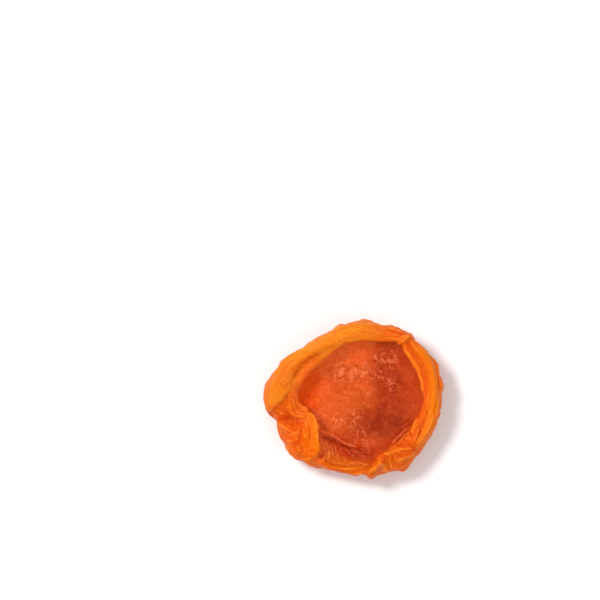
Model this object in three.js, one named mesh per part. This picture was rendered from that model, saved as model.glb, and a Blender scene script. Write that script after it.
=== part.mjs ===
// One half of a stoned apricot, dried. It lies on its skin with the stone hollow up.
// Millimetres, +Z up. The origin is under the middle of the half, on the surface it lies on.
import * as THREE from "three";

// Driving dimensions. The sections are cut outwards from a pole in the middle of the hollow.
const FLOOR_Z = 4.6; // flesh between the surface it lies on and the floor of the hollow
const FLAT_RADIUS = 7.5; // the small flat spot that it rests on
const WAIST = 0.5; // height of the widest part of a section, as a share of its crest's
const WAIST_RISE = 0.4;
const BELLY = [0.8, 0.3]; // the skin under the widest part, as shares of its radius and height
const SHOULDER = 0.72; // how far up from the waist the skin turns in towards the crest
const CREST_ROUND = [0.3, 0.72]; // the rim's inner slope, as shares of the way from lip to crest
const LIP_DROP = 1; // first drop of the wall under the lip
const UNDERCUT = 0.1; // how far the wall runs back there, before its tuck
const WALL = [0.55, 0.42]; // middle of the hollow's wall, as shares of the way from foot to lip
const FOOT_RISE = 0.9; // the floor's edge over its middle
const DISH = [0.55, 0.1]; // the floor between them: share of the foot radius, and rise

// Sections round the half, by angle in degrees from +X:
// angle, outline radius, crest radius, crest height, lip radius, lip height, foot radius, tuck.
// The crest is the top of the curled rim, the lip its inner edge, and the foot is where the
// wall of the hollow meets the floor. The tuck is how far the wall runs back under the lip, or,
// below zero, how far it slopes in.
const SECTIONS = [
  [0, 20.3, 18.4, 10.6, 15.9, 9.6, 11.2, -0.2],
  [15, 21.3, 18.6, 11, 15.7, 10, 11.4, 0],
  [30, 20.8, 18.2, 11.6, 15.7, 10.6, 11.6, 0.1],
  [45, 20.2, 18.4, 12.3, 16.1, 11.2, 11.8, 0.2],
  [54, 20.6, 18.6, 12.6, 16.9, 11.9, 11.8, 0.2],
  [62, 20.1, 17.6, 12.7, 15.9, 12, 11.4, 0.3],
  [75, 19.6, 17, 12.8, 14.7, 12, 10.8, 0.3],
  [90, 19.5, 16.6, 12.8, 14.3, 12, 10, 0.3],
  [105, 19.5, 16.2, 12.8, 14, 12, 9.6, 0.3],
  [120, 18.5, 16, 12.8, 13.6, 11.8, 9.6, 0.2],
  [135, 18.9, 16.8, 13.1, 13.5, 11.6, 10, 0.1],
  [150, 21.2, 18.4, 13.4, 14.2, 11.6, 10.6, 0],
  [165, 22.9, 20, 13.2, 15, 10.9, 11, 0],
  [178, 24.1, 21, 12.4, 15.5, 9.9, 11.4, 0],
  [188, 23.6, 20.8, 10.8, 14.2, 9.1, 11.4, 0.1],
  [196, 21.9, 18.6, 10, 12.9, 9.8, 12.2, 0.3],
  [205, 22.1, 16.6, 11, 12.5, 10.4, 12, 0.4],
  [214, 22, 16.6, 11.4, 13, 10.8, 11.6, 0.4],
  [224, 21.7, 17.2, 10.9, 14.8, 10.4, 11, 0.4],
  [230, 21.1, 18.2, 10.2, 16.6, 9.8, 10.4, 0.2],
  [235, 20.3, 18.8, 9, 18, 8.8, 10, -0.3],
  [242, 19.5, 18.8, 8.6, 17.9, 8.3, 9.9, -0.5],
  [256, 18.9, 18.4, 8.4, 17.6, 8.1, 10.4, -0.5],
  [270, 18.9, 18.1, 8.6, 17.2, 8.3, 11.4, -0.5],
  [278, 19.9, 18.6, 9.4, 17, 8.8, 12.2, -0.6],
  [284, 19.2, 16.6, 10.2, 15.2, 9.4, 12.2, -0.8],
  [291, 19.5, 15.8, 10.6, 14.6, 9.7, 12, -1],
  [302, 20.9, 16.2, 10.4, 14.6, 9.2, 11.6, -1.2],
  [313, 20, 17.4, 10, 14.6, 8.4, 11.2, -1.2],
  [330, 19.9, 18.2, 9.7, 14.9, 8.2, 11.2, -1],
  [345, 20.1, 18.5, 10.1, 15.4, 8.8, 11.2, -0.6],
];

// Folds of the dried flesh, each along a path seen from above, [x, y] from the pole.
// A ridge stands up along its path, or is a furrow if its height is negative. A step drops
// on the right-hand side of its path, and the surface recovers over its width.
const FOLDS = [
  // inner edge of the broad rolled band, and the furrow and thin ridge inside it
  { kind: "step", height: 0.6, width: 2.6, path: [[-24.5, -6.1], [-22.5, -3.3], [-20.8, -1.9],
    [-19, -0.2], [-18, 1.2], [-16.9, 2.6]] },
  { kind: "ridge", height: -0.6, width: 0.8, path: [[-17.2, 3.1], [-16, 4.9], [-15.2, 6.5],
    [-14.2, 8], [-13, 9.1], [-11.5, 10], [-9.8, 11], [-8, 12], [-5.8, 12.9]] },
  { kind: "ridge", height: 0.4, width: 0.8, path: [[-16.2, 1.8], [-15.4, 3.4], [-14.4, 5.2],
    [-13.4, 6.5], [-12.1, 7.7], [-10.9, 8.7], [-9.2, 10.2], [-7.5, 11.4], [-5.2, 12.5]] },
  // edge of the flap that has folded in beside the band, and the creases across it
  { kind: "ridge", height: 0.8, width: 0.8, path: [[-16.4, 2.4], [-17, 0.7], [-16.8, -1.6],
    [-15.9, -3.3], [-14.2, -3.7], [-12.8, -4.2], [-11.5, -5.6], [-11, -7.6], [-10.9, -10.8],
    [-10.8, -13.3], [-11.8, -15.4]] },
  { kind: "ridge", height: 0.42, width: 0.75, path: [[-15.9, 1.5], [-15.9, 0], [-15.2, -1.4],
    [-14, -2.5], [-12.8, -3.5]] },
  { kind: "ridge", height: 0.5, width: 0.8, path: [[-18.5, 0.7], [-18.1, -1.6], [-17.4, -3.2],
    [-16.2, -4.3], [-14.8, -4.5], [-13.2, -5.2], [-12.2, -6.8]] },
  { kind: "ridge", height: -0.5, width: 0.9, path: [[-18.8, -4.9], [-17, -5.3], [-15, -5.6]] },
  { kind: "ridge", height: 0.55, width: 0.8, path: [[-20.9, -4.1], [-20.2, -5.7], [-19, -6.8],
    [-17.5, -7.8], [-16.2, -8.7], [-15, -9.8]] },
  { kind: "ridge", height: 0.34, width: 0.75, path: [[-15, -9.8], [-16.5, -10.3], [-18, -10.5],
    [-19.5, -10.3]] },
  { kind: "ridge", height: 0.35, width: 0.8, path: [[-18.5, -12.2], [-16.9, -12.6], [-15, -13.4]] },
  // crease at the foot of the near wall, and the wall's wrinkles
  { kind: "step", height: 0.8, width: 2.2, path: [[-12, -6.9], [-10.2, -7.8], [-8.5, -8.4],
    [-7.2, -8.9], [-5.8, -9.9], [-4.2, -10.8], [-2.5, -11.5], [-0.8, -12.2], [1.2, -13.4],
    [3.8, -14.5]] },
  { kind: "ridge", height: 0.38, width: 0.75, path: [[-10, -10.1], [-9.2, -12.1], [-9.1, -13.9],
    [-9.6, -15.9]] },
  { kind: "ridge", height: 0.34, width: 0.75, path: [[-8.9, -9.7], [-8.1, -11.6], [-7.9, -13.6],
    [-8.2, -15.6]] },
  { kind: "ridge", height: 0.34, width: 0.75, path: [[-5.5, -11.9], [-4.2, -12.9], [-3.6, -14.3],
    [-2.6, -15.6]] },
  { kind: "ridge", height: 0.34, width: 0.75, path: [[-4.2, -11.4], [-2.5, -12.4], [-0.6, -13.4],
    [1, -14.6]] },
  { kind: "ridge", height: -0.34, width: 0.75, path: [[-2.8, -13.1], [-1.1, -14.1], [0.2, -15.1],
    [1.8, -15.8]] },
  // forked ridge where the rim turns in, and the ridges of the shelf beside it
  { kind: "ridge", height: 0.8, width: 0.8, path: [[1.2, -19], [2.5, -18.2], [3.6, -17.2],
    [4.6, -16], [5.1, -14.9], [4.8, -13.6]] },
  { kind: "ridge", height: 0.51, width: 0.75, path: [[5.1, -15], [5.5, -16.6], [6.2, -17.7],
    [7.5, -18.5]] },
  { kind: "ridge", height: 0.6, width: 0.8, path: [[4.6, -14.5], [6.2, -14], [7.9, -13.4],
    [9.8, -12.8], [11.5, -12.4], [13.5, -12.3]] },
  { kind: "ridge", height: 0.38, width: 0.75, path: [[8.8, -15.5], [10.5, -14.5], [12.1, -13.9],
    [13.8, -13.4]] },
  { kind: "ridge", height: 0.34, width: 0.75, path: [[8, -13.5], [9.8, -12.1], [11.1, -10.7],
    [12.1, -9.2]] },
  { kind: "ridge", height: 0.6, width: 0.8, path: [[14.6, -4.2], [14.2, -5.7], [13.6, -7.1],
    [13, -8.6], [12.6, -10.2], [12, -11.5]] },
  { kind: "ridge", height: 0.38, width: 0.75, path: [[13, -6.4], [11.5, -7.5], [10.4, -8.7],
    [9, -9.9], [7.9, -11.4], [7, -12.4]] },
  // thin ridge at the edge of the hollow, the furrow outside it and the lobe of the rim
  { kind: "ridge", height: 0.6, width: 0.8, path: [[9.9, 13.7], [11.1, 12.4], [12.2, 11],
    [13.4, 9.4], [14.2, 7.7], [15, 5.9], [15.5, 3.9], [15.8, 1.9], [15.6, -0.4], [14.9, -3.1]] },
  { kind: "ridge", height: -0.7, width: 0.8, path: [[10.2, 14.2], [11.8, 13.5], [12.9, 12.2],
    [14, 10.6], [14.8, 8.9], [15.5, 7], [16.1, 4.9], [16.5, 2.6], [16.3, 0.4], [16, -1.9]] },
  { kind: "ridge", height: 0.5, width: 0.8, path: [[12.5, 15.7], [13.8, 13.7], [15.1, 11.9],
    [16.5, 10.2], [17.4, 8.2], [17.9, 6.2], [18.2, 3.9], [18.2, 1.4], [18.1, -1.1], [17.6, -3.9]] },
  { kind: "ridge", height: 0.34, width: 0.75, path: [[14.4, 11.6], [15.4, 9.6], [16.2, 7.8],
    [16.8, 5.6]] },
  { kind: "ridge", height: 0.6, width: 0.8, path: [[8.8, 13.7], [10.4, 14.3], [11.8, 15.1],
    [12.8, 16.3]] },
];
const STEP_EDGE = 0.3; // half the width over which a step drops
const BROW_SHARE = 0.2; // the low swelling along a step's high side, as a share of its height
const BROW_WIDTH = 0.7;
const FOLD_TAPER = 0.15; // share of a path over which a fold grows and fades
const PATH_POINTS = 10; // straight pieces between two points of a path

// Folds of the skin round the outside, each along a path of [angle, height over the rest].
const SKIN_FOLDS = [
  { height: -0.5, width: 1.2, path: [[14, 10.2], [17, 7.4], [24, 4.6], [30, 2.4]] },
  { height: 0.35, width: 0.9, path: [[24, 9.4], [28, 6.6], [36, 4]] },
  { height: -0.4, width: 0.9, path: [[47, 11.2], [45, 8.4], [50, 5.4], [49, 3]] },
  { height: -0.45, width: 1.3, path: [[70, 10.8], [75, 7.6], [73, 4.6], [80, 2.2]] },
  { height: 0.4, width: 1, path: [[84, 10], [88, 7.2], [86, 4.4]] },
  { height: -0.35, width: 0.8, path: [[97, 11.4], [101, 8.8], [99, 6]] },
  { height: -0.5, width: 1.2, path: [[118, 11], [113, 8], [117, 5], [114, 2.4]] },
  { height: -0.35, width: 0.9, path: [[131, 9.6], [137, 8.6], [144, 8.8], [151, 8]] },
  { height: -0.45, width: 1.1, path: [[160, 9.4], [157, 6.6], [162, 4], [160, 2]] },
  { height: 0.35, width: 0.9, path: [[170, 8.6], [168, 6], [173, 3.6]] },
  { height: -0.7, width: 1, path: [[187, 10.4], [190, 8], [196, 5.6], [199, 3.2]] },
  { height: -0.35, width: 0.8, path: [[206, 8.8], [210, 6.6], [208, 4.4]] },
  { height: -0.45, width: 1.1, path: [[226, 8.2], [229, 5.6], [225, 3]] },
  { height: -0.3, width: 0.8, path: [[240, 5.8], [248, 5], [257, 5.4], [264, 4.6]] },
  { height: -0.5, width: 1, path: [[277, 8.6], [273, 6], [276, 3.6], [272, 1.8]] },
  { height: 0.4, width: 0.9, path: [[285, 7.6], [288, 5], [284, 3]] },
  { height: -0.4, width: 1, path: [[300, 7.8], [297, 5.4], [302, 3]] },
  { height: -0.35, width: 0.8, path: [[318, 7.6], [324, 6.4], [331, 6.8]] },
  { height: -0.5, width: 1.2, path: [[342, 8.6], [346, 6], [343, 3.6], [348, 1.8]] },
];
const ARC_PER_DEGREE = 0.35; // length along the skin that one degree of angle stands for

// Puckers of the skin round the outside: waves round the half, depth, phase, twist.
const PUCKERS = [
  [3, 0.4, 60, 0],
  [5, 0.35, 150, 0.6],
  [8, 0.28, 200, -0.5],
  [13, 0.18, 110, 0.8],
];
const PUCKER_CALM = 0.92; // how much of the puckers the waist takes out
// Where the outside's relief grows, calms and fades, and where the folds of the rim begin, all
// counted in guide points along a section.
const PUCKER_START = [1.05, 2.2];
const WAIST_SPAN = [2.4, 3.2];
const PUCKER_END = [3.6, 5.5];
const SKIN_END = [3.4, 4.6];
const RIM_START = [3, 4.2];
const RISING = [-0.1, 0.4]; // how much a surface must face up to take the folds seen from above

// Mesh: columns round the half, and rows between one guide point of a section and the next.
const COLUMNS = 160;
const ROWS = [1, 3, 3, 4, 4, 3, 3, 2, 3, 5, 5, 2];

const TURN_STEP = 0.5; // steps for the direction of the surface: degrees, and guide points
const CLIMB_STEP = 0.03;

const { smoothstep, degToRad, clamp } = THREE.MathUtils;
const gauss = (distance, width) => Math.exp(-((distance / width) ** 2));

// A smooth curve round the half through one column of the sections, without overshoot.
function guideCurve(column) {
  const rows = [
    ...SECTIONS.slice(-2).map((row) => [row[0] - 360, row[column]]),
    ...SECTIONS.map((row) => [row[0], row[column]]),
    ...SECTIONS.slice(0, 2).map((row) => [row[0] + 360, row[column]]),
  ];
  const span = rows.slice(1).map((row, i) => row[0] - rows[i][0]);
  const rise = rows.slice(1).map((row, i) => (row[1] - rows[i][1]) / span[i]);
  const slope = rows.map((row, i) => {
    if (i === 0 || i === rows.length - 1 || rise[i - 1] * rise[i] <= 0) return 0;
    const before = 2 * span[i] + span[i - 1];
    const after = span[i] + 2 * span[i - 1];
    return (before + after) / (before / rise[i - 1] + after / rise[i]);
  });
  return (angle) => {
    const i = rows.findLastIndex((row) => row[0] <= angle);
    const s = (angle - rows[i][0]) / span[i];
    return hermite(rows[i][1], slope[i] * span[i], rows[i + 1][1], slope[i + 1] * span[i], s);
  };
}

function hermite(start, startSlope, end, endSlope, s) {
  const back = 1 - s;
  return (
    start * (1 + 2 * s) * back * back +
    startSlope * s * back * back +
    end * s * s * (3 - 2 * s) +
    endSlope * s * s * (s - 1)
  );
}

const GUIDES = [1, 2, 3, 4, 5, 6, 7].map(guideCurve);

// Guide points of a section, [radius, height], from under the pole round to the floor's middle.
function sectionPoints(angle) {
  const [outline, crest, crestZ, lip, lipZ, foot, tuck] = GUIDES.map((guide) => guide(angle));
  const waistZ = WAIST * crestZ + WAIST_RISE;
  return [
    [0, 0],
    [FLAT_RADIUS, 0],
    [BELLY[0] * outline, BELLY[1] * waistZ],
    [outline, waistZ],
    [crest + (outline - crest) * SHOULDER, waistZ + (crestZ - waistZ) * SHOULDER],
    [crest, crestZ],
    [lip + CREST_ROUND[0] * (crest - lip), lipZ + CREST_ROUND[1] * (crestZ - lipZ)],
    [lip, lipZ],
    [lip + UNDERCUT + tuck, lipZ - LIP_DROP],
    [foot + WALL[0] * (lip - foot) + tuck / 2, FLOOR_Z + WALL[1] * (lipZ - FLOOR_Z)],
    [foot, FLOOR_Z + FOOT_RISE],
    [DISH[0] * foot, FLOOR_Z + DISH[1]],
    [0, FLOOR_Z],
  ];
}

// A point of the half before its folds. v counts guide points along the section.
function plainPoint(angle, v) {
  const turn = ((angle % 360) + 360) % 360;
  const guide = sectionPoints(turn);
  const last = guide.length - 1;
  const mirrored = ([radius, height]) => [-radius, height];
  const points = [mirrored(guide[1]), ...guide, mirrored(guide[last - 1])];
  const i = Math.min(Math.floor(v), last - 1);
  const length = (k) => {
    const [a, b] = [points[k], points[k + 1]];
    return Math.max(Math.sqrt(Math.hypot(b[0] - a[0], b[1] - a[1])), 1e-3);
  };
  const slope = (k, axis) => {
    if (k === 2 && axis === 1) return 0; // the flat spot's edge leaves the surface smoothly
    const [before, after] = [length(k - 1), length(k)];
    const fall = (points[k][axis] - points[k - 1][axis]) / before;
    const climb = (points[k + 1][axis] - points[k][axis]) / after;
    return (fall * after + climb * before) / (before + after);
  };
  const reach = length(i + 1);
  const [radius, height] = [0, 1].map((axis) =>
    hermite(
      points[i + 1][axis], slope(i + 1, axis) * reach,
      points[i + 2][axis], slope(i + 2, axis) * reach, v - i,
    ));
  const theta = degToRad(turn);
  return new THREE.Vector3(radius * Math.cos(theta), radius * Math.sin(theta), height);
}

// Outward direction of the surface there.
function plainNormal(angle, v) {
  const along = plainPoint(angle + TURN_STEP, v).sub(plainPoint(angle - TURN_STEP, v));
  const up = plainPoint(angle, v + CLIMB_STEP).sub(plainPoint(angle, v - CLIMB_STEP));
  return along.cross(up).normalize();
}

// A fold's path as a smooth run of points. A degree of angle can stand for a length.
function smoothPath({ path }, stretch = 1) {
  const points = path.map(([x, y]) => new THREE.Vector3(x * stretch, y, 0));
  const curve = new THREE.CatmullRomCurve3(points, false, "catmullrom", 0.5);
  return curve.getPoints(PATH_POINTS * (points.length - 1));
}

const FOLD_PATHS = FOLDS.map((fold) => smoothPath(fold));
const SKIN_PATHS = SKIN_FOLDS.map((fold) => smoothPath(fold, ARC_PER_DEGREE));

// How far one fold lifts or lowers the surface at a place beside its path.
function foldLift(fold, path, place) {
  let nearest = { distance: Infinity };
  for (let i = 0; i < path.length - 1; i += 1) {
    const run = path[i + 1].clone().sub(path[i]);
    const offset = place.clone().sub(path[i]);
    const share = clamp(offset.dot(run) / run.lengthSq(), 0, 1);
    const distance = offset.distanceTo(run.clone().multiplyScalar(share));
    if (distance < nearest.distance) {
      const onLeft = Math.sign(run.x * offset.y - run.y * offset.x);
      nearest = { distance, onLeft, progress: (i + share) / (path.length - 1) };
    }
  }
  const { distance, onLeft, progress } = nearest;
  const taper = smoothstep(progress, 0, FOLD_TAPER) * smoothstep(1 - progress, 0, FOLD_TAPER);
  if (fold.kind !== "step") return fold.height * gauss(distance, fold.width) * taper;
  const toRight = -distance * onLeft;
  const dropped = smoothstep(toRight, -STEP_EDGE, STEP_EDGE);
  const brow = BROW_SHARE * gauss(toRight, BROW_WIDTH) * (1 - dropped);
  return fold.height * (brow - gauss(toRight, fold.width) * dropped) * taper;
}

// How far all the folds of a list lift the surface at a place.
function foldsLift(folds, paths, place) {
  return folds.reduce((sum, fold, i) => sum + foldLift(fold, paths[i], place), 0);
}

function puckerLift(angle, v) {
  const depth = PUCKERS.reduce((sum, [waves, height, phase, twist]) =>
    sum + height * Math.cos(waves * degToRad(angle) + degToRad(phase) + 2 * twist * v), 0);
  return depth * (1 - smoothstep(v, ...PUCKER_END)) * (1 - PUCKER_CALM * smoothstep(v, ...WAIST_SPAN));
}

function surfacePoint(angle, v) {
  const point = plainPoint(angle, v);
  const normal = plainNormal(angle, v);
  const onRim = smoothstep(normal.z, ...RISING) * smoothstep(v, ...RIM_START);
  const onSkin = 1 - smoothstep(v, ...SKIN_END);
  const fromAbove = new THREE.Vector3(point.x, point.y, 0);
  const alongSkin = new THREE.Vector3(angle * ARC_PER_DEGREE, point.z, 0);
  const outside = foldsLift(SKIN_FOLDS, SKIN_PATHS, alongSkin) * onSkin + puckerLift(angle, v);
  const lift = foldsLift(FOLDS, FOLD_PATHS, fromAbove) * onRim
    + outside * smoothstep(v, ...PUCKER_START);
  point.addScaledVector(normal, lift);
  point.z = Math.max(point.z, 0);
  return point;
}

// One closed skin: a fan under the pole, rows up the outside and down the hollow, and a fan.
function apricotGeometry() {
  const steps = ROWS.flatMap((rows, span) =>
    Array.from({ length: rows }, (_, i) => span + (i + 1) / rows));
  const heights = steps.slice(0, -1);
  const points = [new THREE.Vector3(0, 0, 0)];
  for (const v of heights) {
    for (let i = 0; i < COLUMNS; i += 1) points.push(surfacePoint((360 * i) / COLUMNS, v));
  }
  const top = points.push(new THREE.Vector3(0, 0, FLOOR_Z)) - 1;
  const vertex = (row, column) => 1 + row * COLUMNS + (column % COLUMNS);
  const faces = [];
  for (let i = 0; i < COLUMNS; i += 1) {
    faces.push([0, vertex(0, i + 1), vertex(0, i)]);
    for (let row = 0; row < heights.length - 1; row += 1) {
      const [a, b] = [vertex(row, i), vertex(row, i + 1)];
      const [c, d] = [vertex(row + 1, i + 1), vertex(row + 1, i)];
      const acrossIsShorter = points[a].distanceTo(points[c]) < points[b].distanceTo(points[d]);
      if (acrossIsShorter) faces.push([a, b, c], [a, c, d]);
      else faces.push([a, b, d], [b, c, d]);
    }
    faces.push([vertex(heights.length - 1, i), vertex(heights.length - 1, i + 1), top]);
  }
  const geometry = new THREE.BufferGeometry().setFromPoints(points);
  geometry.setIndex(faces.flat());
  return geometry;
}

// Moves the half so that the origin is under the middle of its own box.
function centred(geometry) {
  geometry.computeBoundingBox();
  const middle = geometry.boundingBox.getCenter(new THREE.Vector3());
  return geometry.translate(-middle.x, -middle.y, -geometry.boundingBox.min.z);
}

const flesh = new THREE.MeshStandardMaterial({ color: 0xe9701f, roughness: 0.5, metalness: 0 });
const apricot = new THREE.Mesh(centred(apricotGeometry()), flesh);
apricot.name = "apricot_half";
apricot.geometry.computeVertexNormals();

const part = new THREE.Group();
part.add(apricot);

export default part;
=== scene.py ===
"""Looks of one dried apricot half, lying on its skin on a pale floor."""
import math

import bpy
import numpy as np
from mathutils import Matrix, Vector


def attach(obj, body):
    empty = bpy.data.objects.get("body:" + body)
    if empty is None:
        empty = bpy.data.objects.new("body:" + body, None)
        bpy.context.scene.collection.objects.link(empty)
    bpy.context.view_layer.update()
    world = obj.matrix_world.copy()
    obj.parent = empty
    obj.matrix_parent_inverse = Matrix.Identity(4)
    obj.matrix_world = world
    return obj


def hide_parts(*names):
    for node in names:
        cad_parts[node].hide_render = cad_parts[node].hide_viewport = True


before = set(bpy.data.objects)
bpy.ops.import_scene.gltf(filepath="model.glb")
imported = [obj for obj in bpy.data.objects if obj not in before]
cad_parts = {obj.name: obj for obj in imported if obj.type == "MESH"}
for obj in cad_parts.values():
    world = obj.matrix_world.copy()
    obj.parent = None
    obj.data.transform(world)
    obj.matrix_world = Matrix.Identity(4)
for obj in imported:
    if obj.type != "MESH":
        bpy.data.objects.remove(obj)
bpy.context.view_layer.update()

NODE = "apricot_half"
MM = 0.001

# Form of the half, in millimetres from a pole in the middle of its hollow. WAIST, BELLY,
# SHOULDER, CREST_ROUND, WALL and the first number of DISH are shares of the lengths beside them.
FLOOR_Z = 4.6
FLAT_RADIUS = 7.5
WAIST = 0.5
WAIST_RISE = 0.4
BELLY = (0.8, 0.30)
SHOULDER = 0.72
CREST_ROUND = (0.3, 0.72)
LIP_DROP = 1.0
UNDERCUT = 0.1
WALL = (0.55, 0.42)
FOOT_RISE = 0.9
DISH = (0.55, 0.1)

# angle, outline radius, crest radius, crest height, lip radius, lip height, foot radius, tuck
SECTIONS = np.array([
    [0, 20.3, 18.4, 10.6, 15.9, 9.6, 11.2, -0.2],
    [15, 21.3, 18.6, 11.0, 15.7, 10.0, 11.4, 0.0],
    [30, 20.8, 18.2, 11.6, 15.7, 10.6, 11.6, 0.1],
    [45, 20.2, 18.4, 12.3, 16.1, 11.2, 11.8, 0.2],
    [54, 20.6, 18.6, 12.6, 16.9, 11.9, 11.8, 0.2],
    [62, 20.1, 17.6, 12.7, 15.9, 12.0, 11.4, 0.3],
    [75, 19.6, 17.0, 12.8, 14.7, 12.0, 10.8, 0.3],
    [90, 19.5, 16.6, 12.8, 14.3, 12.0, 10.0, 0.3],
    [105, 19.5, 16.2, 12.8, 14.0, 12.0, 9.6, 0.3],
    [120, 18.5, 16.0, 12.8, 13.6, 11.8, 9.6, 0.2],
    [135, 18.9, 16.8, 13.1, 13.5, 11.6, 10.0, 0.1],
    [150, 21.2, 18.4, 13.4, 14.2, 11.6, 10.6, 0.0],
    [165, 22.9, 20.0, 13.2, 15.0, 10.9, 11.0, 0.0],
    [178, 24.1, 21.0, 12.4, 15.5, 9.9, 11.4, 0.0],
    [188, 23.6, 20.8, 10.8, 14.2, 9.1, 11.4, 0.1],
    [196, 21.9, 18.6, 10.0, 12.9, 9.8, 12.2, 0.3],
    [205, 22.1, 16.6, 11.0, 12.5, 10.4, 12.0, 0.4],
    [214, 22.0, 16.6, 11.4, 13.0, 10.8, 11.6, 0.4],
    [224, 21.7, 17.2, 10.9, 14.8, 10.4, 11.0, 0.4],
    [230, 21.1, 18.2, 10.2, 16.6, 9.8, 10.4, 0.2],
    [235, 20.3, 18.8, 9.0, 18.0, 8.8, 10.0, -0.3],
    [242, 19.5, 18.8, 8.6, 17.9, 8.3, 9.9, -0.5],
    [256, 18.9, 18.4, 8.4, 17.6, 8.1, 10.4, -0.5],
    [270, 18.9, 18.1, 8.6, 17.2, 8.3, 11.4, -0.5],
    [278, 19.9, 18.6, 9.4, 17.0, 8.8, 12.2, -0.6],
    [284, 19.2, 16.6, 10.2, 15.2, 9.4, 12.2, -0.8],
    [291, 19.5, 15.8, 10.6, 14.6, 9.7, 12.0, -1.0],
    [302, 20.9, 16.2, 10.4, 14.6, 9.2, 11.6, -1.2],
    [313, 20.0, 17.4, 10.0, 14.6, 8.4, 11.2, -1.2],
    [330, 19.9, 18.2, 9.7, 14.9, 8.2, 11.2, -1.0],
    [345, 20.1, 18.5, 10.1, 15.4, 8.8, 11.2, -0.6],
])

# Folds: height, width, path seen from above. They are ridges, furrows where the height is below
# zero, or steps that drop on the right-hand side of their path.
FOLDS = [
    # inner edge of the broad rolled band, and the furrow and thin ridge inside it
    (0.6, 2.6, [[-24.5, -6.1], [-22.5, -3.3], [-20.8, -1.9], [-19, -0.2], [-18, 1.2],
                [-16.9, 2.6]], "step"),
    (-0.6, 0.8, [[-17.2, 3.1], [-16, 4.9], [-15.2, 6.5], [-14.2, 8], [-13, 9.1], [-11.5, 10], [-9.8, 11],
                 [-8, 12], [-5.8, 12.9]]),
    (0.4, 0.8, [[-16.2, 1.8], [-15.4, 3.4], [-14.4, 5.2], [-13.4, 6.5], [-12.1, 7.7], [-10.9, 8.7],
                [-9.2, 10.2], [-7.5, 11.4], [-5.2, 12.5]]),
    # edge of the flap that has folded in beside the band, and the creases across it
    (0.8, 0.8, [[-16.4, 2.4], [-17, 0.7], [-16.8, -1.6], [-15.9, -3.3], [-14.2, -3.7], [-12.8, -4.2],
                [-11.5, -5.6], [-11, -7.6], [-10.9, -10.8], [-10.8, -13.3], [-11.8, -15.4]]),
    (0.42, 0.75, [[-15.9, 1.5], [-15.9, 0], [-15.2, -1.4], [-14, -2.5], [-12.8, -3.5]]),
    (0.5, 0.8, [[-18.5, 0.7], [-18.1, -1.6], [-17.4, -3.2], [-16.2, -4.3], [-14.8, -4.5], [-13.2, -5.2],
                [-12.2, -6.8]]),
    (-0.5, 0.9, [[-18.8, -4.9], [-17, -5.3], [-15, -5.6]]),
    (0.55, 0.8, [[-20.9, -4.1], [-20.2, -5.7], [-19, -6.8], [-17.5, -7.8], [-16.2, -8.7], [-15, -9.8]]),
    (0.34, 0.75, [[-15, -9.8], [-16.5, -10.3], [-18, -10.5], [-19.5, -10.3]]),
    (0.35, 0.8, [[-18.5, -12.2], [-16.9, -12.6], [-15, -13.4]]),
    # crease at the foot of the near wall, and the wall's wrinkles
    (0.8, 2.2, [[-12, -6.9], [-10.2, -7.8], [-8.5, -8.4], [-7.2, -8.9], [-5.8, -9.9], [-4.2, -10.8],
                [-2.5, -11.5], [-0.8, -12.2], [1.2, -13.4], [3.8, -14.5]], "step"),
    (0.38, 0.75, [[-10, -10.1], [-9.2, -12.1], [-9.1, -13.9], [-9.6, -15.9]]),
    (0.34, 0.75, [[-8.9, -9.7], [-8.1, -11.6], [-7.9, -13.6], [-8.2, -15.6]]),
    (0.34, 0.75, [[-5.5, -11.9], [-4.2, -12.9], [-3.6, -14.3], [-2.6, -15.6]]),
    (0.34, 0.75, [[-4.2, -11.4], [-2.5, -12.4], [-0.6, -13.4], [1, -14.6]]),
    (-0.34, 0.75, [[-2.8, -13.1], [-1.1, -14.1], [0.2, -15.1], [1.8, -15.8]]),
    # forked ridge where the rim turns in, and the ridges of the shelf beside it
    (0.8, 0.8, [[1.2, -19], [2.5, -18.2], [3.6, -17.2], [4.6, -16], [5.1, -14.9], [4.8, -13.6]]),
    (0.51, 0.75, [[5.1, -15], [5.5, -16.6], [6.2, -17.7], [7.5, -18.5]]),
    (0.6, 0.8, [[4.6, -14.5], [6.2, -14], [7.9, -13.4], [9.8, -12.8], [11.5, -12.4], [13.5, -12.3]]),
    (0.38, 0.75, [[8.8, -15.5], [10.5, -14.5], [12.1, -13.9], [13.8, -13.4]]),
    (0.34, 0.75, [[8, -13.5], [9.8, -12.1], [11.1, -10.7], [12.1, -9.2]]),
    (0.6, 0.8, [[14.6, -4.2], [14.2, -5.7], [13.6, -7.1], [13, -8.6], [12.6, -10.2], [12, -11.5]]),
    (0.38, 0.75, [[13, -6.4], [11.5, -7.5], [10.4, -8.7], [9, -9.9], [7.9, -11.4], [7, -12.4]]),
    # thin ridge at the edge of the hollow, the furrow outside it and the lobe of the rim
    (0.6, 0.8, [[9.9, 13.7], [11.1, 12.4], [12.2, 11], [13.4, 9.4], [14.2, 7.7], [15, 5.9], [15.5, 3.9],
                [15.8, 1.9], [15.6, -0.4], [14.9, -3.1]]),
    (-0.7, 0.8, [[10.2, 14.2], [11.8, 13.5], [12.9, 12.2], [14, 10.6], [14.8, 8.9], [15.5, 7], [16.1, 4.9],
                 [16.5, 2.6], [16.3, 0.4], [16, -1.9]]),
    (0.5, 0.8, [[12.5, 15.7], [13.8, 13.7], [15.1, 11.9], [16.5, 10.2], [17.4, 8.2], [17.9, 6.2],
                [18.2, 3.9], [18.2, 1.4], [18.1, -1.1], [17.6, -3.9]]),
    (0.34, 0.75, [[14.4, 11.6], [15.4, 9.6], [16.2, 7.8], [16.8, 5.6]]),
    (0.6, 0.8, [[8.8, 13.7], [10.4, 14.3], [11.8, 15.1], [12.8, 16.3]]),
]

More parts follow.
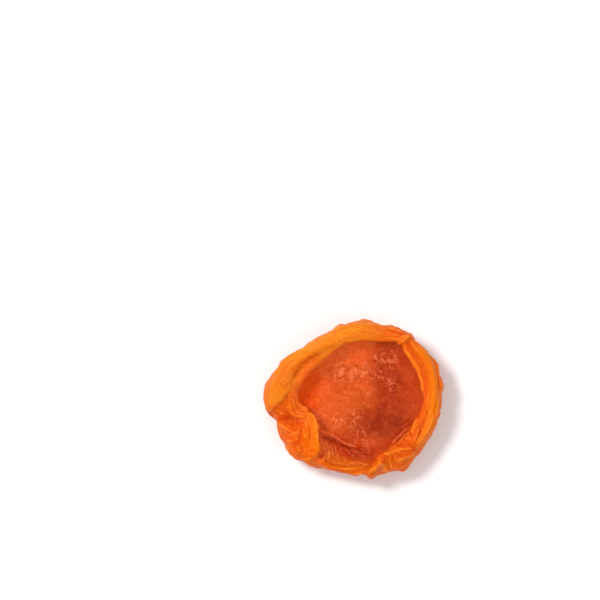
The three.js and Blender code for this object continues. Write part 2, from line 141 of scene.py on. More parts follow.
# Folds of the skin round the outside: height, width, path as [angle, height above the rest].
SKIN_FOLDS = [
    (-0.5, 1.2, [[14, 10.2], [17, 7.4], [24, 4.6], [30, 2.4]]),
    (0.35, 0.9, [[24, 9.4], [28, 6.6], [36, 4]]),
    (-0.4, 0.9, [[47, 11.2], [45, 8.4], [50, 5.4], [49, 3]]),
    (-0.45, 1.3, [[70, 10.8], [75, 7.6], [73, 4.6], [80, 2.2]]),
    (0.4, 1.0, [[84, 10], [88, 7.2], [86, 4.4]]),
    (-0.35, 0.8, [[97, 11.4], [101, 8.8], [99, 6]]),
    (-0.5, 1.2, [[118, 11], [113, 8], [117, 5], [114, 2.4]]),
    (-0.35, 0.9, [[131, 9.6], [137, 8.6], [144, 8.8], [151, 8]]),
    (-0.45, 1.1, [[160, 9.4], [157, 6.6], [162, 4], [160, 2]]),
    (0.35, 0.9, [[170, 8.6], [168, 6], [173, 3.6]]),
    (-0.7, 1.0, [[187, 10.4], [190, 8], [196, 5.6], [199, 3.2]]),
    (-0.35, 0.8, [[206, 8.8], [210, 6.6], [208, 4.4]]),
    (-0.45, 1.1, [[226, 8.2], [229, 5.6], [225, 3]]),
    (-0.3, 0.8, [[240, 5.8], [248, 5], [257, 5.4], [264, 4.6]]),
    (-0.5, 1.0, [[277, 8.6], [273, 6], [276, 3.6], [272, 1.8]]),
    (0.4, 0.9, [[285, 7.6], [288, 5], [284, 3]]),
    (-0.4, 1.0, [[300, 7.8], [297, 5.4], [302, 3]]),
    (-0.35, 0.8, [[318, 7.6], [324, 6.4], [331, 6.8]]),
    (-0.5, 1.2, [[342, 8.6], [346, 6], [343, 3.6], [348, 1.8]]),
]
# Millimetres of skin to a degree, the widths that a fold reaches out to, how wide a step's drop
# is, how high and wide its brow is, the share of a path over which its fold fades at each end,
# and points of a curve to a span.
ARC_PER_DEGREE = 0.35
FOLD_REACH = 4
STEP_EDGE = 0.3
BROW_SHARE = 0.2
BROW_WIDTH = 0.7
FOLD_TAPER = 0.15
PATH_POINTS = 10

# Wrinkles too fine for the solid: height, width, path.
WRINKLES = [
    # streaks along the band
    (0.2, 0.3, [[-6.5, 17.1], [-2.8, 18.1], [1, 18.4], [4.8, 18]]),
    (0.2, 0.28, [[-3.5, 16.3], [0.2, 16.9], [4, 16.4], [7.2, 15.5]]),
    (0.18, 0.25, [[-9.8, 14.1], [-7.2, 15.6], [-4, 16.6], [-0.2, 17.5]]),
    (0.22, 0.25, [[-5.8, 14.4], [-3.8, 15.1], [-1.2, 15.5]]),
    (0.25, 0.28, [[6.5, 18], [8.2, 17], [10.2, 16.5]]),
    (0.22, 0.25, [[5.2, 17], [7.5, 16.1], [10, 15.5]]),
    (-0.22, 0.25, [[5.8, 17.5], [7.8, 16.5], [10.8, 15.8]]),
    (0.22, 0.22, [[7.2, 15], [8.8, 14.7], [10.2, 15], [11.8, 15.5]]),
    (0.2, 0.3, [[-21.5, 5], [-19.5, 9], [-15.5, 11.8], [-11, 14.1]]),
    (-0.2, 0.3, [[-20.5, 4], [-18.5, 7.8], [-15, 10.8], [-12, 12.4]]),
    (0.22, 0.26, [[-19.2, 2.8], [-18, 6.5], [-15.8, 9.3]]),
    (0.16, 0.22, [[-22.2, 1.6], [-21.5, 4.1], [-20, 6.6]]),
    (-0.16, 0.22, [[-19.5, 4.6], [-19.2, 3.3], [-18.8, 2.6]]),
    (0.16, 0.22, [[-9.8, 11.1], [-7.8, 12.7], [-6.2, 14.1]]),
    (0.18, 0.22, [[-13, 11], [-11, 12.5], [-8.8, 13.8]]),
    # the flap
    (0.3, 0.18, [[-16.8, 1.4], [-16.9, -0.4], [-16.2, -2.6], [-14.8, -3.6], [-13.2, -3.9], [-11.9, -5],
                 [-11.2, -6.9], [-11, -10], [-11, -12.8]]),
    (0.26, 0.18, [[-16, 0.8], [-15.8, -0.8], [-14.8, -2], [-13, -3.3]]),
    (0.28, 0.18, [[-18.2, -1.2], [-17.6, -2.8], [-16.4, -4.1], [-14.9, -4.5], [-13.4, -5]]),
    (0.22, 0.18, [[-20.6, -5], [-19.2, -6.6], [-17.4, -7.8], [-15.2, -9.5]]),
    (0.18, 0.18, [[-15.2, -9.8], [-16.7, -10.3], [-18.2, -10.4]]),
    (0.22, 0.2, [[-17.9, 0.2], [-17.6, -1.3], [-17, -2.7]]),
    (-0.22, 0.2, [[-17.4, 0.2], [-17.1, -1.3], [-16.4, -2.8]]),
    (0.25, 0.2, [[-20.4, -3.8], [-19, -3.7], [-17.8, -3.8]]),
    (0.25, 0.2, [[-14.5, -1.9], [-13.8, -3.1], [-12.5, -4.1], [-11.6, -5.1]]),
    (-0.25, 0.2, [[-15, -3.2], [-13.8, -3.3], [-12.5, -4.6], [-11.5, -6.1]]),
    (0.14, 0.2, [[-18.2, -6.3], [-17.5, -7.1], [-16.2, -7.9], [-15.2, -8.8]]),
    (0.14, 0.2, [[-17.6, -8.5], [-16.5, -9.3], [-15.2, -9.7]]),
    (0.16, 0.2, [[-14.9, -7.1], [-15.4, -8.2], [-15.1, -9.3]]),
    (0.22, 0.2, [[-13.8, -6.8], [-14, -8.3], [-13.5, -10.1]]),
    (-0.22, 0.22, [[-12.9, -6.1], [-12.5, -8.6], [-12.8, -11.6], [-12.2, -13.8]]),
    (0.22, 0.2, [[-14.5, -11], [-13.8, -12.5], [-14.2, -14]]),
    (0.22, 0.22, [[-20, -6.7], [-19.5, -8.2], [-19.8, -9.7]]),
    (0.22, 0.2, [[-16, -11.5], [-15.2, -12.5], [-15.5, -13.8]]),
    (0.25, 0.22, [[-14.8, -14.8], [-13.5, -14.9], [-12.2, -14.4]]),
    # the near wall
    (0.32, 0.2, [[-11, -7.3], [-9, -8.1], [-7.4, -8.7], [-5.8, -9.7], [-4.2, -10.6], [-2.5, -11.3],
                 [-0.5, -11.7]]),
    (-0.14, 0.3, [[-10.2, -8.6], [-8.4, -9.3], [-6.8, -10.1], [-5.2, -10.9], [-3.6, -11.7], [-1.8, -12.9],
                  [0.4, -14.6]]),
    (0.32, 0.2, [[-9.6, -10.8], [-8.9, -12.4], [-8.8, -14.2], [-9.4, -16]]),
    (0.32, 0.2, [[-8.7, -10.2], [-8.0, -12], [-7.8, -14], [-8.1, -16]]),
    (0.28, 0.2, [[-7.5, -10.6], [-7.1, -12.6], [-6.5, -14.6]]),
    (0.28, 0.2, [[-6.6, -11.1], [-5.8, -13.1], [-5.2, -14.6]]),
    (0.28, 0.2, [[-5, -11.6], [-3.2, -12.6], [-2.2, -13.6], [-1.8, -14.6]]),
    (0.25, 0.2, [[-2.8, -12.3], [-1, -13], [0.5, -13.9], [2, -14.3]]),
    (0.25, 0.2, [[-7.5, -15.4], [-4.8, -16], [-2.2, -15.9], [0.2, -15.6]]),
    (0.28, 0.24, [[-7.8, -16.7], [-4.5, -17.3], [-1.8, -17.3], [1.8, -16.4]]),
    (-0.25, 0.24, [[-8.8, -16.4], [-5.8, -17.7], [-2.2, -18], [0.8, -17.7]]),
    (0.25, 0.24, [[-8.2, -17.4], [-4.8, -18.4], [-1.2, -18.5], [1.2, -18.2]]),
    (0.25, 0.2, [[-1, -14.9], [0.2, -15.8], [2.2, -16.4]]),
    (-0.25, 0.2, [[2.8, -15.4], [3.8, -14.6], [4.5, -13.6]]),
    # round the forked ridge and on the shelf
    (0.32, 0.2, [[2, -18.5], [3.3, -17.4], [4.5, -16], [5, -14.9]]),
    (0.28, 0.2, [[5.2, -15.4], [5.7, -16.9], [6.8, -18]]),
    (0.32, 0.2, [[5.4, -14.2], [7.9, -13.4], [9.8, -12.8], [11.5, -12.4], [13, -12.3]]),
    (0.26, 0.2, [[9.4, -15.2], [11.2, -14.3], [13, -13.6]]),
    (0.3, 0.2, [[14.4, -5], [13.7, -6.9], [12.9, -9]]),
    (0.28, 0.2, [[12.4, -6.9], [10.6, -8.5], [8.9, -10.2], [7.8, -11.6]]),
    (0.28, 0.2, [[5.8, -15.4], [6.2, -16.8], [7.1, -17.8]]),
    (0.25, 0.2, [[6.8, -15], [7.5, -16], [7.8, -17.5]]),
    (0.25, 0.2, [[8.2, -14.5], [9.2, -15.3], [10.8, -15.8]]),
    (0.22, 0.2, [[9.2, -17], [10.8, -16.5], [12.2, -15.2]]),
    (0.28, 0.2, [[6.8, -13.2], [8.2, -12.2], [9.8, -10.9], [10.8, -9.7]]),
    (0.25, 0.2, [[9, -11.7], [10.5, -10.2], [11.5, -8.6]]),
    (0.28, 0.18, [[12.2, -5.7], [11.1, -6.6], [10, -7.5]]),
    (0.22, 0.18, [[11.5, -8.4], [12.2, -8.9], [12, -9.9], [11.1, -9.9]]),
    (0.25, 0.22, [[15.1, -9.3], [16.2, -7], [17.1, -4.5], [17.4, -2]]),
    (-0.25, 0.22, [[14, -9.8], [15.1, -7.5], [16, -5], [16.5, -2.5]]),
    (0.22, 0.22, [[14.2, -11.3], [16, -8.8], [17.5, -5.8], [18.2, -3]]),
    (0.2, 0.2, [[13.2, -10.8], [14, -8.8], [14.9, -6.8]]),
    # the far side of the rim
    (0.28, 0.2, [[10.6, 13], [12.2, 11], [13.6, 8.9], [14.8, 6.4], [15.5, 3.9], [15.8, 1.4]]),
    (0.26, 0.2, [[9.4, 13.9], [10.8, 14.5], [12, 15.3]]),
    (0.28, 0.22, [[13.2, 15.9], [15, 13.8], [16.8, 11.8], [18.4, 9.4]]),
    (-0.25, 0.2, [[14, 14.4], [15.5, 12.5], [17, 10.8], [18.2, 8.7]]),
    (0.28, 0.22, [[18.8, 8.7], [19.8, 6.7], [20.2, 4.5], [20.1, 2.2]]),
    (-0.25, 0.2, [[18.4, 8.2], [19.1, 6.2], [19.5, 3.9], [19.4, 1.4]]),
    (0.25, 0.2, [[12.5, 14.4], [13.4, 12.8], [14.2, 11.6]]),
    (0.22, 0.2, [[16.5, 4.7], [16.9, 2.6], [16.8, 0.4], [16.5, -1.9]]),
    (0.22, 0.2, [[19.1, 0.2], [19, -2], [18.5, -4.3]]),
    (-0.2, 0.2, [[18.4, 0.4], [18.6, -1.1], [18.2, -2.8]]),
    # fibres and folds in the floor of the hollow
    (0.22, 0.16, [[7.4, 11.8], [8.5, 10.7], [9.8, 9.3]]),
    (0.18, 0.16, [[6.8, 11.2], [8, 9.8], [9.2, 8.6]]),
    (0.22, 0.2, [[3.8, 10.4], [5, 9.5], [7, 9.5], [8.8, 9]]),
    (0.2, 0.16, [[-5, 11.2], [-4.1, 12.1], [-3.4, 13]]),
    (0.22, 0.18, [[2.5, 6.8], [3.9, 6.6], [4.8, 5.8], [5.5, 4.8]]),
    (0.2, 0.16, [[7.2, 8.2], [8.2, 7.9], [9.2, 7.3]]),
    (0.22, 0.18, [[8.4, 4.6], [9.1, 3.9], [9.6, 2.9]]),
    (0.18, 0.16, [[-0.8, 9.5], [-0.4, 8.5], [-0.6, 7.5]]),
    (0.2, 0.16, [[-2.2, 7.6], [-1.8, 6.7], [-1.9, 5.6]]),
    (0.18, 0.16, [[-6.6, 6.7], [-5.9, 6.3], [-5.5, 5.5]]),
    (0.18, 0.18, [[0.2, 8.1], [1, 7.2], [0.8, 6.3]]),
    (0.2, 0.16, [[-6.1, -4.7], [-5.5, -5.2], [-5, -4.9]]),
    (0.2, 0.16, [[-2.5, -4.4], [-1.8, -5.1], [-0.8, -4.7]]),
    (0.14, 0.18, [[-4.5, 9], [-4.2, 7.5], [-5, 6]]),
]

# Lines of colour, by zone: share, width, paths.
LINES = {
    # the golden part of the rim, from the far side round to the near right
    "lobe": (1, 1.4, [
        [[12.5, 15.7], [15.1, 11.9], [17.4, 8.2], [18.2, 3.9], [18.2, -1.1], [17.2, -6.2],
         [14.9, -10.2], [13.2, -13]]]),
    # the yellowest streaks along the broad band, and painted shade in the fold beside its edge
    "yellow_streak": (0.6, 1.3, [
        [[-22.6, -3], [-21.2, -0.6], [-20, 1.2], [-18.8, 2.8]],
        [[-18.6, 7], [-16.5, 9.6], [-14, 11.6], [-11, 12.8], [-8.4, 14.1], [-5, 16], [-1, 17], [3, 16.6]]]),
    "fold_shade": (0.85, 1.0, [
        [[-22.6, -5.6], [-21, -4], [-19.4, -2.4], [-18.2, -0.6], [-17.2, 1.6]],
        [[-16.6, 4.6], [-15.4, 7], [-13.8, 8.7], [-11.6, 10.2], [-9.4, 11.4]]]),
    # the redder ridge at the edge of the hollow, and the redder slope under its near end
    "thin_edge": (1, 0.9, [
        [[9.6, 14.2], [11.1, 12.4], [13.4, 9.4], [15, 5.9], [15.8, 1.9], [15.6, -0.4],
         [14.9, -3.1], [14.3, -5.6], [13.6, -8.4], [12.5, -10.8]]]),
    "red_slope": (0.8, 1.5, [[[14.8, -5.4], [13.4, -8.4], [11.6, -10.8], [9.4, -12.4]]]),
    # painted shade in deep red along the crease at the foot of the near wall
    "painted_crease_shade": (0.7, 1.1, [[[-5.6, -10.7], [-3, -11.8], [-0.8, -12.6], [1.8, -13.2], [4.2, -13.8]]]),
}

# Zones: degrees round the half where each grows, is full, fades and ends; then the spans over
# which it grows along a section, by guide points, and outward, in millimetres from the pole.
# Guide point 3 is the outline, 5 the crest, 7 the lip and 10 the foot of the wall.
EVERYWHERE = (-2, -1)
ZONES = {
    "band": ((62, 84, 181, 186), (2.9, 4)),
    "strip_and_painted_highlight": ((132, 150, 184, 190), (5.6, 6.4)),
    "flap": ((184, 190, 230, 234), (3.6, 4.6)),
    "shelf": ((280, 288, 325, 345), (4, 4.8)),
    "near_wall": ((229, 234, 268, 290), (3.6, 4.4), (9.6, 11)),
    "near_edge": ((229, 234, 268, 290), (3.6, 4.4), (13.6, 16.6)),
    # the walls below get painted light: brighter colour for light that comes through the rim
    "left_wall_painted_light": ((135, 160, 182, 200), EVERYWHERE, (9.6, 12.2)),
    "far_wall": ((65, 95, 160, 182), EVERYWHERE, (7.6, 11.2)),
    "right_wall": ((325, 345, 420, 445), EVERYWHERE, (10.5, 13)),
}
RIM_ZONES = ("band", "strip_and_painted_highlight", "flap", "shelf", "lobe", "thin_edge")
# Where the hollow's red starts, sooner beside the shelf, and where it is full.
HOLLOW_START = 7.0
SHELF_START = 6.4
HOLLOW_FULL = 8.2
SKIN_SPAN = (2.3, 4.2)
FLAP_GOLD_SPAN = (-15.6, -12.4)

# Soft oval spots: place, then reach along x and y.
FLAP_SHADE_SPOT = (-17.6, -4.4, 4.18, 2.2)
# the painted highlight on the flap, in the strip's colour
FLAP_PAINTED_HIGHLIGHT_SPOT = (-15, -3.4, 1.7, 1.7)
DEEP_RED_SPOT = (7, -5.8, 8.16, 3.4)
LIT_LEFT_SPOT = (-10.2, -1.5, 4.56, 6.46)
LIT_NEAR_SPOT = (2, -10.8, 4.4, 2.2)
LIT_CORNER_SPOT = (-10, -11.6, 2.2, 3.74)
FLAP_PAINTED_HIGHLIGHT_SPOT_SHARE = 0.8
LIT_SPOT_SHARE = 0.35
LIT_RIGHT_WALL_SHARE = 0.2
LIT_FLOOR_START = (9.4, 10.4)

# The floor's painted glow, brighter colour that stands in for light through the thin rim: x of its
# right edge, y under which that edge draws back to the left, and how soft it is.
GLOW_REACH = 3.2
GLOW_NEAR = -1
GLOW_EDGE = (-4.5, 3.5)

# Patches of the floor where its fibres show: place, radius, share.
FIBRE_PATCHES = [
    (-5.5, 6.5, 2, 1), (-1.5, 6.8, 2, 1), (2.2, 6.6, 1.6, 0.8), (4.8, 6, 1.6, 0.8),
    (4.6, 10.4, 1.5, 1), (7.4, 10.4, 1.9, 1), (-5.5, -5, 1.4, 1), (-1.5, -5.2, 1.7, 0.9),
    (8, 4, 1.4, 0.9), (-3.8, 10.2, 4.2, 0.5), (1, -9.6, 3.4, 0.5),
]
# How crumpled each zone is.
CRUMPLED_SHARES = {"near_wall": 0.45, "flap": 0.5, "shelf": 0.7, "fibrous": 0.7, "red_slope": 0.6}

# Puckers of the outside: waves round the half, depth, phase, twist.
PUCKERS = [(3, 0.4, 60, 0), (5, 0.35, 150, 0.6), (8, 0.28, 200, -0.5), (13, 0.18, 110, 0.8)]
PUCKER_CALM = 0.92
# Where relief grows, calms and fades, by guide points along a section.
PUCKER_START = (1.05, 2.2)
PUCKER_WAIST = (2.4, 3.2)
PUCKER_END = (3.6, 5.5)
SKIN_FOLD_END = (3.4, 4.6)
FOLD_START = (3.0, 4.2)
UNDERSIDE_END = (1.2, 2.0)
SKIN_END = (3.2, 4.4)
RIM_END = (7.6, 8.6)
HOLLOW_RELIEF = (7.6, 8.8)
# Folds and wrinkles seen from above fade where the surface turns away from there.
FACING_UP = (-0.1, 0.4)

# Layers of fine relief: size, height, seed. A size of three numbers runs round the half with
# two of them and across its rim with the third.
RIM_STREAKS = [((6.5, 6.5, 0.8), 0.14, 11), ((3.2, 3.2, 0.45), 0.07, 13)]
GATHERS = [((2.6, 2.6, 9), 0.12, 17)]
GROOVES = [((4.5, 4.5, 8), -0.42, 17), ((2.0, 2.0, 3.6), -0.189, 19)]
SKIN_SWELLS = [(3.2, 0.048, 19)]
FLOOR_SWELLS = [(2.6, 0.18, 31), (1.1, 0.08, 37)]
CRUMPLES = [(1.5, 0.06, 23), (0.75, 0.036, 29)]
# The same with shares for heights, where a shape is used at more than one height.
CREASES = [(2.2, 1, 43), (1.1, 0.6, 45)]
WRINKLE_SWELLS = [(1.3, 1, 71)]
SKIN_CREASE = 0.04
RIM_CREASE = 0.05
CRUMPLED_CREASE = 0.13
# Random moves of a place, one to an axis: size, reach, seed.
STREAK_DRIFT = [(3.1, 0.9, 3)]
GROOVE_DRIFT = [(5.0, 2.2, 73), (5.0, 2.2, 79), (4.0, 1.5, 83)]
CREASE_DRIFT = [(2.4, 0.8, 51), (2.4, 0.8, 53), (2.4, 0.8, 57)]
WRINKLE_DRIFT = [(1.6, 0.25, 61), (1.6, 0.25, 67)]
GLOW_DRIFT = [(4.0, 2.0, 47)]
# Sharp crests: how fast they fall off, and how high they stand over the mean.
CREST_FALL = 3
CREST_TOP = 0.6
# How much of the folds, the wrinkles and the fine relief tells in the colour, as painted shade in furrows
# and painted highlight on crests.
RELIEF_SHARES = (0.3, 3.5, 2)

# Radius of the ring that the half is unrolled from for its streaks.
FLOW_RADIUS = 18

# Mesh: columns round the half, and rows between one guide point of a section and the next.
COLUMNS = 500
ROWS = (4, 14, 20, 22, 20, 14, 14, 6, 12, 16, 28, 16)


def smooth(low, high, x):
    s = np.clip((x - low) / (high - low), 0, 1)
    return s * s * (3 - 2 * s)


def gauss(distance, width):
    return np.exp(-(distance / width) ** 2)


def hermite(start, start_slope, end, end_slope, s):
    back = 1 - s
    return (start * (1 + 2 * s) * back ** 2 + start_slope * s * back ** 2
            + end * s * s * (3 - 2 * s) + end_slope * s * s * (s - 1))


def guide_curve(column, angles):
    """One column of the sections as a smooth curve round the half, without overshoot."""
    knots = np.concatenate([SECTIONS[-2:, 0] - 360, SECTIONS[:, 0], SECTIONS[:2, 0] + 360])
    value = np.concatenate([SECTIONS[-2:, column], SECTIONS[:, column], SECTIONS[:2, column]])
    span = np.diff(knots)
    rise = np.diff(value) / span
    slope = np.zeros_like(value)
    for i in range(1, len(value) - 1):
        if rise[i - 1] * rise[i] > 0:
            before = 2 * span[i] + span[i - 1]
            after = span[i] + 2 * span[i - 1]
            slope[i] = (before + after) / (before / rise[i - 1] + after / rise[i])
    i = np.clip(np.searchsorted(knots, angles, side="right") - 1, 0, len(span) - 1)
    s = (angles - knots[i]) / span[i]
    return hermite(value[i], slope[i] * span[i], value[i + 1], slope[i + 1] * span[i], s)


def section_points(angles):
    """Guide points of the sections, as [section, point, (radius, height)]."""
    outline, crest, crest_z, lip, lip_z, foot, tuck = (
        guide_curve(k, angles) for k in range(1, 8))
    waist_z = WAIST * crest_z + WAIST_RISE
    zero = np.zeros_like(angles)
    points = [
        (zero, zero),
        (zero + FLAT_RADIUS, zero),
        (BELLY[0] * outline, BELLY[1] * waist_z),
        (outline, waist_z),
        (crest + (outline - crest) * SHOULDER, waist_z + (crest_z - waist_z) * SHOULDER),
        (crest, crest_z),
        (lip + CREST_ROUND[0] * (crest - lip), lip_z + CREST_ROUND[1] * (crest_z - lip_z)),
        (lip, lip_z),
        (lip + UNDERCUT + tuck, lip_z - LIP_DROP),
        (foot + WALL[0] * (lip - foot) + tuck / 2, FLOOR_Z + WALL[1] * (lip_z - FLOOR_Z)),
        (foot, zero + FLOOR_Z + FOOT_RISE),
        (DISH[0] * foot, zero + FLOOR_Z + DISH[1]),
        (zero, zero + FLOOR_Z),
    ]
    return np.stack([np.stack(point, -1) for point in points], 1)


def plain_surface(angles, stops):
    """The half before its folds, as [column, row, (x, y, z)]."""
    guide = section_points(angles)
    last = guide.shape[1] - 1
    mirror = np.array([-1, 1])
    points = np.concatenate([guide[:, 1:2] * mirror, guide, guide[:, last - 1:last] * mirror], 1)
    step = np.diff(points, axis=1)
    length = np.maximum(np.sqrt(np.linalg.norm(step, axis=2)), 1e-3)[..., None]
    rate = step / length
    slope = ((rate[:, :-1] * length[:, 1:] + rate[:, 1:] * length[:, :-1])
             / (length[:, :-1] + length[:, 1:]))
    slope[:, 1, 1] = 0
    rings = []
    for v in stops:
        i = min(int(v), last - 1)
        reach = length[:, i + 1]
        rings.append(hermite(guide[:, i], slope[:, i] * reach,
                             guide[:, i + 1], slope[:, i + 1] * reach, v - i))
    section = np.stack(rings, 1)
    theta = np.radians(angles)[:, None]
    return np.stack([section[..., 0] * np.cos(theta), section[..., 0] * np.sin(theta),
                     section[..., 1]], -1)


def grid_normals(points):
    along = np.roll(points, -1, 0) - np.roll(points, 1, 0)
    up = np.gradient(points, axis=1)
    normal = np.cross(along, up)
    return normal / np.maximum(np.linalg.norm(normal, axis=2, keepdims=True), 1e-9)


def curve_through(path):
    """Points of a smooth curve through a path's points."""
    knots = np.array(path, float)
    knots = np.vstack([2 * knots[0] - knots[1], knots, 2 * knots[-1] - knots[-2]])
    points = []
    for a, b, c, d in zip(knots, knots[1:], knots[2:], knots[3:]):
        for s in np.arange(PATH_POINTS) / PATH_POINTS:
            points.append(hermite(b, (c - a) / 2, c, (d - b) / 2, s))
    return np.array(points + [knots[-2]])


def fold_lift(x, y, height, width, path, kind="ridge"):
    """How far one fold lifts the surface at places seen from above."""
    lift = np.zeros_like(x)
    curve = curve_through(path)
    low, high = curve.min(0) - FOLD_REACH * width, curve.max(0) + FOLD_REACH * width
    near = (x > low[0]) & (x < high[0]) & (y > low[1]) & (y < high[1])
    place = np.stack([x[near], y[near]], -1)
    distance = np.full(len(place), np.inf)
    on_left = np.zeros(len(place))
    progress = np.zeros(len(place))
    for i, (start, end) in enumerate(zip(curve, curve[1:])):
        run = end - start
        offset = place - start
        share = np.clip(offset @ run / (run @ run), 0, 1)
        apart = np.linalg.norm(offset - share[:, None] * run, axis=1)
        closer = apart < distance
        side = np.sign(run[0] * offset[:, 1] - run[1] * offset[:, 0])
        distance = np.where(closer, apart, distance)
        on_left = np.where(closer, side, on_left)
        progress = np.where(closer, (i + share) / (len(curve) - 1), progress)
    taper = smooth(0, FOLD_TAPER, progress) * smooth(0, FOLD_TAPER, 1 - progress)
    if kind == "ridge":
        shape = gauss(distance, width)
    else:
        to_right = -distance * on_left
        dropped = smooth(-STEP_EDGE, STEP_EDGE, to_right)
        brow = BROW_SHARE * gauss(to_right, BROW_WIDTH) * (1 - dropped)
        shape = brow - gauss(to_right, width) * dropped
    lift[near] = height * shape * taper
    return lift


def skin_fold_lift(angles, points, v):
    """How far the folds of the outside lift the skin."""
    arc = np.broadcast_to(angles[:, None] * ARC_PER_DEGREE, points.shape[:2])
    stretch = np.array([ARC_PER_DEGREE, 1])
    lift = sum(fold_lift(arc, points[..., 2], height, width, np.array(path) * stretch)
               for height, width, path in SKIN_FOLDS)
    return lift * smooth(*PUCKER_START, v) * (1 - smooth(*SKIN_FOLD_END, v))


def pucker_lift(angles, stops):
    theta = np.radians(angles)[:, None]
    v = stops[None, :]
    depth = sum(
        height * np.cos(waves * theta + math.radians(phase) + 2 * twist * v)
        for waves, height, phase, twist in PUCKERS)
    growth = smooth(*PUCKER_START, v) * (1 - smooth(*PUCKER_END, v))
    return depth * growth * (1 - PUCKER_CALM * smooth(*PUCKER_WAIST, v))


GRADIENTS = np.random.default_rng(7).normal(size=(256, 3))
GRADIENTS /= np.linalg.norm(GRADIENTS, axis=1, keepdims=True)


def noise(points, seed):
    """Smooth random values, about -0.7 to 0.7, with one bump or dip to each unit of length."""
    cell = np.floor(points).astype(np.int64)
    within = points - cell
    fade = within ** 3 * (within * (within * 6 - 15) + 10)
    total = np.zeros(points.shape[:-1])
    for corner in np.ndindex(2, 2, 2):
        lattice = cell + np.array(corner)
        mixed = (lattice[..., 0] * 73856093) ^ (lattice[..., 1] * 19349663)
        mixed ^= (lattice[..., 2] * 83492791) ^ (seed * 2654435761)
        gradient = GRADIENTS[(mixed ^ (mixed >> 13)) % len(GRADIENTS)]
        weight = np.where(corner, fade, 1 - fade).prod(-1)
        total += weight * (gradient * (within - corner)).sum(-1)
    return total


def crests(points, seed):
    """Noise with sharp crests and broad dips."""
    return CREST_TOP - np.minimum(1, CREST_FALL * np.abs(noise(points, seed)))


def layered(shape, places, layers):
    """Layers of one kind of noise, added up."""
    return sum(share * shape(places / np.array(size), seed) for size, share, seed in layers)


def drift(points, moves):
    """Random moves of places, one for each axis."""
    return np.stack([reach * noise(points / size, seed) for size, reach, seed in moves], -1)


def fine_relief(flow, points, v, crumpled):
    """Small wrinkles of the dried flesh, in millimetres, by place on the half."""
    warped = flow + drift(points, STREAK_DRIFT) * np.array([0, 0, 1])
    crumples = layered(noise, points, CRUMPLES)
    creases = layered(crests, points + drift(points, CREASE_DRIFT), CREASES)
    # soft gathers and sharper grooves that run from the base up to the rim
    skin = layered(noise, warped, GATHERS) + layered(noise, points, SKIN_SWELLS) + crumples
    skin += layered(crests, flow + drift(points, GROOVE_DRIFT), GROOVES) + SKIN_CREASE * creases
    # streaks that run round the rim
    rim = layered(noise, warped, RIM_STREAKS) + crumples + RIM_CREASE * creases
    floor = layered(noise, points, FLOOR_SWELLS) + RIM_CREASE * creases
    past_skin = smooth(*SKIN_END, v)
    return (smooth(*UNDERSIDE_END, v) * (1 - past_skin) * skin
            + past_skin * (1 - smooth(*RIM_END, v)) * rim
            + smooth(*HOLLOW_RELIEF, v) * floor + CRUMPLED_CREASE * crumpled * creases)


def flow_places(angles, points):
    """Places unrolled so that two run round the half and the third runs across its rim."""
    theta = np.radians(angles)[:, None]
    across = np.linalg.norm(np.diff(points, axis=1), axis=2).cumsum(1)
    across = np.concatenate([np.zeros((len(angles), 1)), across], 1)
    ring = np.full_like(across, FLOW_RADIUS)
    return np.stack([np.cos(theta) * ring, np.sin(theta) * ring, across], -1)


def facing_up(normal, v):
    return smooth(*FACING_UP, normal[..., 2]) * smooth(*FOLD_START, v)


def relieved(angles, stops, points, crumpled):
    """The surface with its folds, how far each place stands out, and its flow places."""
    v = stops[None, :]
    normal = grid_normals(points)
    x, y = points[..., 0], points[..., 1]
    folds = sum(fold_lift(x, y, *fold) for fold in FOLDS)
    folds = folds * facing_up(normal, v) + skin_fold_lift(angles, points, v)
    points = points + normal * (folds + pucker_lift(angles, stops))[..., None]
    flow = flow_places(angles, points)
    normal = grid_normals(points)
    wander = drift(points, WRINKLE_DRIFT)
    x, y = x + wander[..., 0], y + wander[..., 1]
    wrinkles = sum(fold_lift(x, y, *wrinkle) for wrinkle in WRINKLES)
    wrinkles *= facing_up(normal, v) * (1 + layered(noise, points, WRINKLE_SWELLS))
    fine = fine_relief(flow, points, v, crumpled)
    points = points + normal * (wrinkles + fine)[..., None]
    points[..., 2] = np.maximum(points[..., 2], 0)
    relief = sum(share * lift for share, lift in zip(RELIEF_SHARES, (folds, wrinkles, fine)))
    return points, relief, flow


def zone(theta, v, radius, around, along, outward=EVERYWHERE):
    """One zone's mask, 0 to 1."""
    grows, full, fades, ends = (degrees - around[0] for degrees in around)
    turned = (theta - around[0]) % 360
    mask = smooth(grows, full, turned) * (1 - smooth(fades, ends, turned))
    return mask * smooth(*along, v) * smooth(*outward, radius)


def spot(x, y, place_x, place_y, reach_x, reach_y):
    return gauss(np.hypot((x - place_x) / reach_x, (y - place_y) / reach_y), 1)


